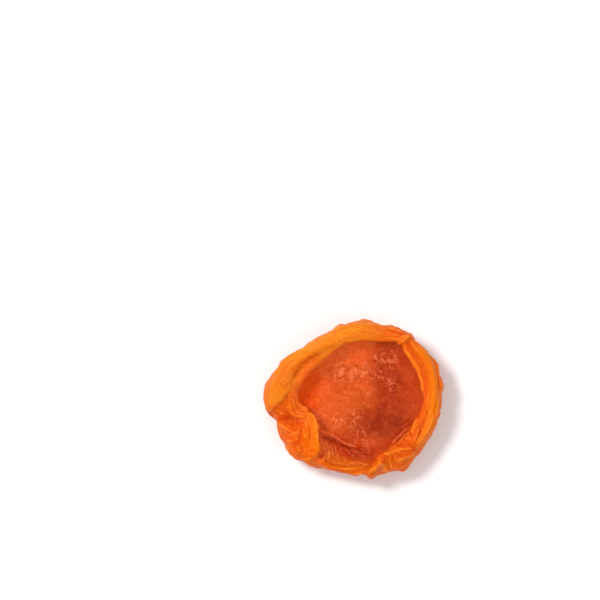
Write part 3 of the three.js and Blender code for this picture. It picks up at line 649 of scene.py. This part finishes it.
def zone_masks(stops, points):
    """Where the half is rim, hollow, near wall and so on, each 0 to 1."""
    v = np.broadcast_to(stops[None, :], points.shape[:2])
    x, y = points[..., 0], points[..., 1]
    theta = np.degrees(np.arctan2(y, x)) % 360
    radius = np.hypot(x, y)
    masks = {name: zone(theta, v, radius, *spans) for name, spans in ZONES.items()}
    for name, (share, width, paths) in LINES.items():
        masks[name] = sum(fold_lift(x, y, share, width, path) for path in paths)

    start = HOLLOW_START + (SHELF_START - HOLLOW_START) * masks["shelf"]
    hollow = smooth(start, HOLLOW_FULL, v)
    wall_or_hollow = np.maximum(masks["near_wall"], hollow)
    for name in RIM_ZONES:
        masks[name] *= 1 - hollow
    masks["hollow"] = hollow
    masks["skin"] = 1 - smooth(*SKIN_SPAN, v)
    masks["left_wall_painted_light"] *= hollow
    masks["yellow_streak"] *= masks["band"]
    masks["painted_crease_shade"] *= wall_or_hollow
    masks["flap_gold"] = smooth(*FLAP_GOLD_SPAN, x)
    masks["flap_shade"] = spot(x, y, *FLAP_SHADE_SPOT) * masks["flap"]
    # on the flap, the strip's colour also paints a highlight
    masks["strip_and_painted_highlight"] = np.maximum(
        masks["strip_and_painted_highlight"], FLAP_PAINTED_HIGHLIGHT_SPOT_SHARE * spot(x, y, *FLAP_PAINTED_HIGHLIGHT_SPOT) * masks["flap"])
    # the floor is painted brighter to the left, as light through the rim, and is deeper red to the right
    # and below
    to_left = GLOW_REACH - np.maximum(0, GLOW_NEAR - y) - x
    masks["painted_glow"] = smooth(*GLOW_EDGE, to_left + drift(points, GLOW_DRIFT)[..., 0]) * hollow
    masks["deep_red"] = spot(x, y, *DEEP_RED_SPOT) * hollow
    # light comes through the rim to the wall and the floor at the left and the far side
    lit = masks.pop("far_wall") + LIT_RIGHT_WALL_SHARE * masks.pop("right_wall")
    lit += LIT_SPOT_SHARE * spot(x, y, *LIT_LEFT_SPOT) * smooth(*LIT_FLOOR_START, v)
    lit += LIT_SPOT_SHARE * spot(x, y, *LIT_NEAR_SPOT)
    lit = lit * hollow + spot(x, y, *LIT_CORNER_SPOT) * wall_or_hollow
    masks["lit"] = np.minimum(1, lit)
    fibrous = sum(share * spot(x, y, place_x, place_y, reach, reach)
                  for place_x, place_y, reach, share in FIBRE_PATCHES)
    masks["fibrous"] = np.minimum(1, fibrous) * hollow
    crumpled = sum(share * masks[name] for name, share in CRUMPLED_SHARES.items())
    masks["crumpled"] = np.minimum(1, crumpled)
    return masks


def half_mesh():
    """The half's own mesh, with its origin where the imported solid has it."""
    angles = np.arange(COLUMNS) * 360 / COLUMNS
    # stops along a section, counted in guide points
    stops = np.concatenate([
        span + (np.arange(rows) + 1) / rows for span, rows in enumerate(ROWS)])[:-1]
    plain = plain_surface(angles, stops)
    masks = zone_masks(stops, plain)
    points, masks["relief"], flow = relieved(angles, stops, plain, masks["crumpled"])

    vertices = np.vstack([[0, 0, 0], ring_rows(points), [0, 0, FLOOR_Z]])
    low, high = vertices.min(0), vertices.max(0)
    vertices -= [(low[0] + high[0]) / 2, (low[1] + high[1]) / 2, low[2]]
    mesh = bpy.data.meshes.new("apricot")
    mesh.from_pydata((vertices * MM).tolist(), [], grid_faces(len(stops)))
    mesh.shade_smooth()
    for name, mask in masks.items():
        store(mesh, name, "FLOAT", "value", mask[..., None])
    store(mesh, "flow", "FLOAT_VECTOR", "vector", flow)
    return mesh


def ring_rows(grid):
    """A grid's places, ring after ring from the base up to the rim and down into the hollow."""
    return grid.transpose(1, 0, 2).reshape(-1, grid.shape[2])


def grid_faces(rows):
    """Quads between the rings, and a fan of triangles round each pole."""
    top = 1 + COLUMNS * rows
    base = top - COLUMNS
    faces = []
    for i in range(COLUMNS):
        j = (i + 1) % COLUMNS
        faces.append((0, 1 + j, 1 + i))
        faces.append((base + i, base + j, top))
    for a in range(1, base, COLUMNS):
        for i in range(COLUMNS):
            j = (i + 1) % COLUMNS
            faces.append((a + i, a + j, a + COLUMNS + j, a + COLUMNS + i))
    return faces


def store(mesh, name, kind, field, grid):
    """Gives each point of the mesh a value that the shader can read."""
    values = ring_rows(grid)
    values = np.vstack([values[:1], values, values[-COLUMNS]])
    attribute = mesh.attributes.new(name, kind, "POINT")
    attribute.data.foreach_set(field, values.astype(np.float32).ravel())


def linear(*display):
    """A display colour, 0 to 255, as the linear colour that a shader takes."""
    shares = (value / 255 for value in display)
    return (*(s / 12.92 if s <= 0.04045 else ((s + 0.055) / 1.055) ** 2.4 for s in shares), 1)


class Shader:
    """Short calls for making a material's nodes."""

    def __init__(self, name):
        self.material = bpy.data.materials.new(name)
        self.material.use_nodes = True
        self.nodes = self.material.node_tree.nodes
        self.links = self.material.node_tree.links
        self.principled = self.nodes["Principled BSDF"]

    def set(self, socket, value):
        if isinstance(value, bpy.types.NodeSocket):
            self.links.new(value, socket)
        else:
            socket.default_value = value

    def attribute(self, name, output="Fac"):
        """A value that the mesh holds at each point."""
        node = self.nodes.new("ShaderNodeAttribute")
        node.attribute_name = name
        return node.outputs[output]

    def math(self, operation, a, b=0.0):
        node = self.nodes.new("ShaderNodeMath")
        node.operation = operation
        self.set(node.inputs[0], a)
        self.set(node.inputs[1], b)
        return node.outputs[0]

    def times(self, a, b):
        return self.math("MULTIPLY", a, b)

    def map(self, value, low, high, out_low=0.0, out_high=1.0):
        node = self.nodes.new("ShaderNodeMapRange")
        node.interpolation_type = "SMOOTHSTEP"
        for socket, number in zip(node.inputs[:5], (value, low, high, out_low, out_high)):
            self.set(socket, number)
        return node.outputs[0]

    def between(self, mask, off, on):
        """A value that goes from one number to another as a mask goes from 0 to 1."""
        return self.map(mask, 0, 1, off, on)

    def mix(self, factor, a, b):
        node = self.nodes.new("ShaderNodeMix")
        node.data_type = "RGBA"
        self.set(node.inputs[0], factor)
        self.set(node.inputs[6], a)
        self.set(node.inputs[7], b)
        return node.outputs[2]

    def paint(self, colour, layers):
        """A colour with others laid over it in turn, each where its mask says."""
        for mask, other in layers:
            colour = self.mix(self.attribute(mask), colour, other)
        return colour

    def lay(self, colour, other, texture, span, share=1.0):
        """A colour with another over it, which grows to its share over a span of a texture."""
        return self.mix(self.map(texture, *span, 0.0, share), colour, other)

    def noise(self, size, detail, roughness, distortion):
        """Noise with bumps of about a size in millimetres, in the object's own space."""
        place = self.nodes.new("ShaderNodeTexCoord").outputs["Object"]
        return self.noise_at(place, 1 / (size * MM), detail, roughness, distortion)

    def streaks(self, length, width, detail, roughness, distortion):
        """Noise drawn out round the rim, by the length and width of a streak in millimetres."""
        mapping = self.nodes.new("ShaderNodeMapping")
        mapping.inputs["Scale"].default_value = (1 / length, 1 / length, 1 / width)
        self.set(mapping.inputs["Vector"], self.attribute("flow", "Vector"))
        return self.noise_at(mapping.outputs[0], 1, detail, roughness, distortion)

    def noise_at(self, place, scale, detail, roughness, distortion):
        node = self.nodes.new("ShaderNodeTexNoise")
        self.set(node.inputs["Vector"], place)
        node.inputs["Scale"].default_value = scale
        node.inputs["Detail"].default_value = detail
        node.inputs["Roughness"].default_value = roughness
        node.inputs["Distortion"].default_value = distortion
        return node.outputs["Fac"]


# Colours as the eye sees them on the half, before light and shade, save those marked as painted light or
# shade.
HOLLOW_RED = linear(168, 42, 8)
HOLLOW_DEEP = linear(146, 30, 4)
# painted light: the glow of light through the rim onto the floor
HOLLOW_PAINTED_GLOW = linear(216, 90, 28)
HOLLOW_CLOUD = linear(240, 106, 44)
HOLLOW_LIT = linear(255, 112, 44)
# painted light on the left wall of the hollow
WALL_PAINTED_LIGHT_ORANGE = linear(244, 90, 8)
NEAR_RED = linear(184, 48, 12)
# painted shade in the crease at the foot of the near wall
CREASE_SHADE_RED = linear(166, 32, 4)
NEAR_EDGE = linear(216, 100, 8)
RIM_ORANGE = linear(222, 86, 12)
RIM_YELLOW = linear(230, 104, 16)
RIM_GOLD = linear(238, 126, 10)
THIN_ORANGE = linear(234, 92, 22)
SLOPE_RED = linear(220, 74, 16)
BAND_YELLOW = linear(228, 126, 27)
BAND_ORANGE = linear(224, 114, 24)
BAND_AMBER = linear(238, 148, 24)
# painted shade in the fold beside the band's edge, and the dark hairs
BAND_FOLD = linear(214, 80, 6)
# the strip's own colour, also a painted highlight on the flap
STRIP_AND_HIGHLIGHT_ORANGE = linear(240, 108, 36)
FLAP_ORANGE = linear(222, 80, 8)
FLAP_GOLD = linear(244, 116, 10)
FLAP_SHADE = linear(208, 68, 12)
SHELF_RED = linear(214, 74, 12)
SHELF_ORANGE = linear(230, 92, 12)
SKIN_GOLD = linear(250, 122, 8)
SKIN_ORANGE = linear(240, 98, 8)
# furrow colours: painted shade in the furrows, and also the dark mottle and flecks
RIM_FURROW = linear(214, 78, 14)
HOLLOW_FURROW = linear(160, 38, 6)
SKIN_FURROW = linear(196, 60, 6)
# pale colours: painted highlight on the crests, and the pale grain and fibres
CREST_PALE = linear(252, 150, 42)
# painted glints on the flesh
FLECK_GLINT = linear(255, 150, 104)
HOLLOW_PALE = linear(250, 138, 78)
DEEP_PALE = linear(226, 92, 34)
FLOOR_WHITE = linear(252, 252, 252)
FLOOR_SPECK = linear(250, 250, 250)

# Textures of the flesh: size in millimetres, detail, roughness, distortion.
TEXTURES = {
    "blotches": (5.0, 3, 0.55, 0.0),
    "clouds": (2.6, 3, 0.55, 0.0),
    "crinkles": (2.0, 3, 0.6, 1.0),
    "fibres": (2.0, 2, 0.5, 0.6),
    "mottle": (1.4, 6, 0.65, 0.5),
    "flecks": (1.1, 3, 0.6, 0.8),
    "pits": (0.9, 1.5, 0.55, 0.0),
    "grain": (0.6, 3, 0.6, 0.0),
}
# The same drawn out round the rim: length and width in millimetres, then as above.
STREAKS = {
    "streaks": (6.0, 0.8, 5, 0.6, 0.4),
    "hairs": (2.4, 0.32, 3, 0.6, 0.4),
}

# Spans of a texture's value over which a mark grows to its full share.
EVEN_BLEND = (0.38, 0.62)
SHELF_BLEND = (0.4, 0.62)
SKIN_BLEND = (0.36, 0.62)
DARK_HAIRS = (0.48, 0.34)
PALE_HAIRS = (0.52, 0.66)
FURROW_SHADES = (-0.05, -0.8)
CREST_HIGHLIGHTS = (0.15, 0.9)
DARK_MOTTLE = (0.5, 0.3)
GLINT_GRAIN = (0.5, 0.72)
GLINT_FLECKS = (0.48, 0.68)
DARK_FLECKS = (0.5, 0.34)
FIBRES = (0.02, 0)
FIBRE_BLOTCHES = (0.42, 0.6)
CRINKLE_SHADES = (0.5, 0.36)

# Shares of the marks; of two numbers, the first holds where a mask is off, the second where on.
CLOUD_SHARE = 0.15
HAIR_SHARE = 0.5
BAND_CALM = (1, 0.4)
FURROW_SHADE_SHARE = 0.75
CREST_HIGHLIGHT_SHARES = (0.5, 0.35)
MOTTLE_SHARE = 0.4
GRAIN_GLINT_SHARES = (0.16, 0.4)
FLECK_SHARES = (0.06, 0.22)
FIBROUS_FLECK_SHARE = 0.7
DARK_FLECK_SHARE = 0.6
FIBRE_SHARES = (0.2, 0.6)
CRINKLE_SHADE_SHARE = 0.45

# Bump: the distance of a whole step, and the share of it that each texture takes.
BUMP_DISTANCE = 0.5 * MM
PIT_BUMPS = (0.16, 1.1)
STREAK_BUMP = 0.25
HAIR_BUMP = 0.12
CRINKLE_BUMP = 1.6

# The gloss is the same all over, but sharper where the flesh is crumpled; skin counts as half so.
GLOSS_LEVEL = 0.2
GLOSS_TINT = (1.0, 0.58, 0.26, 1)
SKIN_CRUMPLE = 0.5
CRUMPLED_FULL = 0.7
PLAIN_ROUGHNESS = 0.55
CRUMPLED_ROUGHNESS = 0.2
ROUGHNESS_BLEND = (0.35, 0.65)
ROUGHNESS_SWAY = 0.05
SUBSURFACE_WEIGHTS = (0.75, 0.5)
SUBSURFACE_RADIUS = (1.0, 0.30, 0.06)
SUBSURFACE_SCALE = 1.3 * MM


def zone_colour(shader, texture):
    """The colour of each zone, with the fine streaks along the rim."""
    # the hollow's red, with a painted glow of light to the left
    hollow = shader.paint(HOLLOW_RED, [("painted_glow", HOLLOW_PAINTED_GLOW), ("deep_red", HOLLOW_DEEP)])
    hollow = shader.lay(hollow, HOLLOW_CLOUD, texture["clouds"], EVEN_BLEND, CLOUD_SHARE)
    rim = shader.lay(RIM_ORANGE, RIM_YELLOW, texture["streaks"], EVEN_BLEND)
    band = shader.lay(BAND_ORANGE, BAND_YELLOW, texture["streaks"], EVEN_BLEND)
    flap = shader.paint(FLAP_ORANGE, [("flap_gold", FLAP_GOLD), ("flap_shade", FLAP_SHADE)])
    shelf = shader.lay(SHELF_RED, SHELF_ORANGE, texture["mottle"], SHELF_BLEND)
    skin = shader.lay(SKIN_ORANGE, SKIN_GOLD, texture["blotches"], SKIN_BLEND)
    # the strip's colour also paints a highlight on the flap, and the fold colour paints shade beside the
    # band's edge
    colour = shader.paint(rim, [
        ("thin_edge", THIN_ORANGE), ("band", band), ("yellow_streak", BAND_AMBER), ("flap", flap),
        ("strip_and_painted_highlight", STRIP_AND_HIGHLIGHT_ORANGE), ("shelf", shelf), ("fold_shade", BAND_FOLD), ("lobe", RIM_GOLD),
        ("red_slope", SLOPE_RED)])
    pale_hair = shader.paint(RIM_GOLD, [("band", BAND_AMBER)])
    colour = shader.lay(colour, BAND_FOLD, texture["hairs"], DARK_HAIRS, HAIR_SHARE)
    colour = shader.lay(colour, pale_hair, texture["hairs"], PALE_HAIRS, HAIR_SHARE)
    # painted light on the lit and left walls, and painted shade in the crease
    return shader.paint(colour, [
        ("skin", skin), ("hollow", hollow), ("near_wall", NEAR_RED), ("near_edge", NEAR_EDGE),
        ("lit", HOLLOW_LIT), ("left_wall_painted_light", WALL_PAINTED_LIGHT_ORANGE), ("painted_crease_shade", CREASE_SHADE_RED)])


def marked_colour(shader, colour, texture):
    """A colour with painted shade in the furrows and crinkles, painted highlights on the crests, grain and
    pale flecks, and dark mottle, dark flecks and fibres over it.
    """
    hollow = shader.attribute("hollow")
    crumpled = shader.attribute("crumpled")
    relief = shader.attribute("relief")
    deep = shader.paint(RIM_FURROW, [("hollow", HOLLOW_FURROW), ("skin", SKIN_FURROW)])
    hollow_pale = shader.paint(HOLLOW_PALE, [("deep_red", DEEP_PALE)])
    pale = shader.mix(hollow, CREST_PALE, hollow_pale)

    # painted shade in the furrows and painted highlight on the crests, calmer on the band
    calm = shader.between(shader.attribute("band"), *BAND_CALM)
    furrow_shade_share = shader.times(calm, FURROW_SHADE_SHARE)
    colour = shader.lay(colour, deep, relief, FURROW_SHADES, furrow_shade_share)
    crest_highlight_share = shader.times(calm, shader.between(hollow, *CREST_HIGHLIGHT_SHARES))
    colour = shader.lay(colour, pale, relief, CREST_HIGHLIGHTS, crest_highlight_share)
    colour = shader.lay(colour, deep, texture["mottle"], DARK_MOTTLE, MOTTLE_SHARE)
    # pale grain: fine painted glints
    grain_glint_share = shader.between(crumpled, *GRAIN_GLINT_SHARES)
    colour = shader.lay(colour, pale, texture["grain"], GLINT_GRAIN, grain_glint_share)
    # the floor's flecks, the pale ones painted glints, are strongest where its fibres show
    plain_share = shader.times(shader.between(shader.attribute("painted_glow"), *FLECK_SHARES), hollow)
    fleck_share = shader.between(shader.attribute("fibrous"), plain_share, FIBROUS_FLECK_SHARE)
    colour = shader.lay(colour, FLECK_GLINT, texture["flecks"], GLINT_FLECKS, fleck_share)
    dark_share = shader.times(fleck_share, DARK_FLECK_SHARE)
    colour = shader.lay(colour, deep, texture["flecks"], DARK_FLECKS, dark_share)
    # fibres are thin lines where their texture crosses its middle
    away = shader.math("ABSOLUTE", shader.math("SUBTRACT", texture["fibres"], 0.5))
    fibre_share = shader.between(crumpled, *FIBRE_SHARES)
    fibre_share = shader.map(texture["blotches"], *FIBRE_BLOTCHES, 0, fibre_share)
    colour = shader.lay(colour, pale, away, FIBRES, fibre_share)
    # dark crinkles: painted shade in the skin's fine furrows
    crinkle_shade_share = shader.times(shader.attribute("skin"), CRINKLE_SHADE_SHARE)
    return shader.lay(colour, SKIN_FURROW, texture["crinkles"], CRINKLE_SHADES, crinkle_shade_share)


def bump(shader, texture, rough, skin):
    """The normal with the pits, streaks, hairs and crinkles in it."""
    shares = {
        "pits": shader.between(rough, *PIT_BUMPS),
        "streaks": STREAK_BUMP,
        "hairs": HAIR_BUMP,
        "crinkles": shader.times(skin, CRINKLE_BUMP),
    }
    height = 0.0
    for name, share in shares.items():
        height = shader.math("ADD", height, shader.times(texture[name], share))
    node = shader.nodes.new("ShaderNodeBump")
    node.inputs["Strength"].default_value = 1.0
    node.inputs["Distance"].default_value = BUMP_DISTANCE
    shader.set(node.inputs["Height"], height)
    return node.outputs[0]


def flesh_material():
    shader = Shader("apricot_flesh")
    texture = {name: shader.noise(*recipe) for name, recipe in TEXTURES.items()}
    texture.update({name: shader.streaks(*recipe) for name, recipe in STREAKS.items()})
    skin = shader.attribute("skin")
    rough = shader.math("MAXIMUM", shader.attribute("crumpled"), shader.times(skin, SKIN_CRUMPLE))
    roughness = shader.map(rough, 0, CRUMPLED_FULL, PLAIN_ROUGHNESS, CRUMPLED_ROUGHNESS)
    sway = shader.map(texture["mottle"], *ROUGHNESS_BLEND, -ROUGHNESS_SWAY, ROUGHNESS_SWAY)
    settings = {
        "Base Color": marked_colour(shader, zone_colour(shader, texture), texture),
        "Normal": bump(shader, texture, rough, skin),
        "Roughness": shader.math("ADD", roughness, sway),
        "Subsurface Weight": shader.between(skin, *SUBSURFACE_WEIGHTS),
        "Subsurface Radius": SUBSURFACE_RADIUS,
        "Subsurface Scale": SUBSURFACE_SCALE,
        "Specular IOR Level": GLOSS_LEVEL,
        "Specular Tint": GLOSS_TINT,
    }
    for name, value in settings.items():
        shader.set(shader.principled.inputs[name], value)
    return shader.material


# Studio: a white floor out to FLOOR_REACH metres, a white sky, and lights by place, size, power.
FLOOR_REACH = 1.5
FLOOR_TEXTURE = (40, 2, 0.55, 0.0)
FLOOR_BLEND = (0.3, 0.7)
FLOOR_ROUGHNESS = 0.7
SKY_STRENGTH = 0.66
LIGHTS = {
    "key": ((-0.26, 0.16, 0.50), 0.14, 2.0),
    "fill": ((0.28, -0.22, 0.40), 0.30, 0.25),
}

# Camera: the photograph is PHOTO_SIZE pixels wide, and the pole is at POLE_PIXEL in it.
PHOTO_SIZE = 600
POLE_PIXEL = (361, 398)
PIXEL = 0.25 * MM
POLE = (1.9 * MM, 0.2 * MM)
AIM_HEIGHT = 6 * MM
CAMERA_ELEVATION = 86
CAMERA_DISTANCE = 0.8
CLIP_START = 0.01
SENSOR = 36


def floor_material():
    shader = Shader("pale_floor")
    speckle = shader.noise(*FLOOR_TEXTURE)
    colour = shader.lay(FLOOR_SPECK, FLOOR_WHITE, speckle, FLOOR_BLEND)
    shader.set(shader.principled.inputs["Base Color"], colour)
    shader.set(shader.principled.inputs["Roughness"], FLOOR_ROUGHNESS)
    return shader.material


def add_object(name, data):
    thing = bpy.data.objects.new(name, data)
    bpy.context.scene.collection.objects.link(thing)
    return thing


def aim(thing, place, target):
    thing.location = place
    thing.rotation_mode = "QUATERNION"
    thing.rotation_quaternion = (Vector(target) - Vector(place)).to_track_quat("-Z", "Y")


def add_camera():
    right = (PHOTO_SIZE / 2 - POLE_PIXEL[0]) * PIXEL
    up = (POLE_PIXEL[1] - PHOTO_SIZE / 2) * PIXEL
    elevation = math.radians(CAMERA_ELEVATION)
    target = Vector((POLE[0] + right, POLE[1] + up / math.sin(elevation), AIM_HEIGHT))
    place = target + CAMERA_DISTANCE * Vector((0, -math.cos(elevation), math.sin(elevation)))
    data = bpy.data.cameras.new("camera")
    data.sensor_width = SENSOR
    data.lens = SENSOR * CAMERA_DISTANCE / (PHOTO_SIZE * PIXEL)
    data.clip_start = CLIP_START
    camera = add_object("camera", data)
    aim(camera, place, target)
    bpy.context.scene.camera = camera


def add_light(name, place, size, power):
    data = bpy.data.lights.new(name, "AREA")
    data.size = size
    data.energy = power
    aim(add_object(name, data), place, (0, 0, 0))


def add_floor():
    mesh = bpy.data.meshes.new("floor")
    corners = [(x * FLOOR_REACH, y * FLOOR_REACH, 0) for x, y in ((-1, -1), (1, -1), (1, 1), (-1, 1))]
    mesh.from_pydata(corners, [], [(0, 1, 2, 3)])
    mesh.materials.append(floor_material())
    add_object("floor", mesh)


def add_sky():
    """A white sky that lights the half but isn't seen in its gloss."""
    world = bpy.data.worlds.new("studio")
    world.use_nodes = True
    background = world.node_tree.nodes["Background"]
    background.inputs["Color"].default_value = (1, 1, 1, 1)
    background.inputs["Strength"].default_value = SKY_STRENGTH
    bpy.context.scene.world = world
    world.cycles_visibility.glossy = False
    bpy.context.scene.view_settings.view_transform = "Standard"


apricot = add_object("apricot", half_mesh())
apricot.data.materials.append(flesh_material())
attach(apricot, "root")
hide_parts(NODE)

add_camera()
add_floor()
add_sky()
for light, settings in LIGHTS.items():
    add_light(light, *settings)
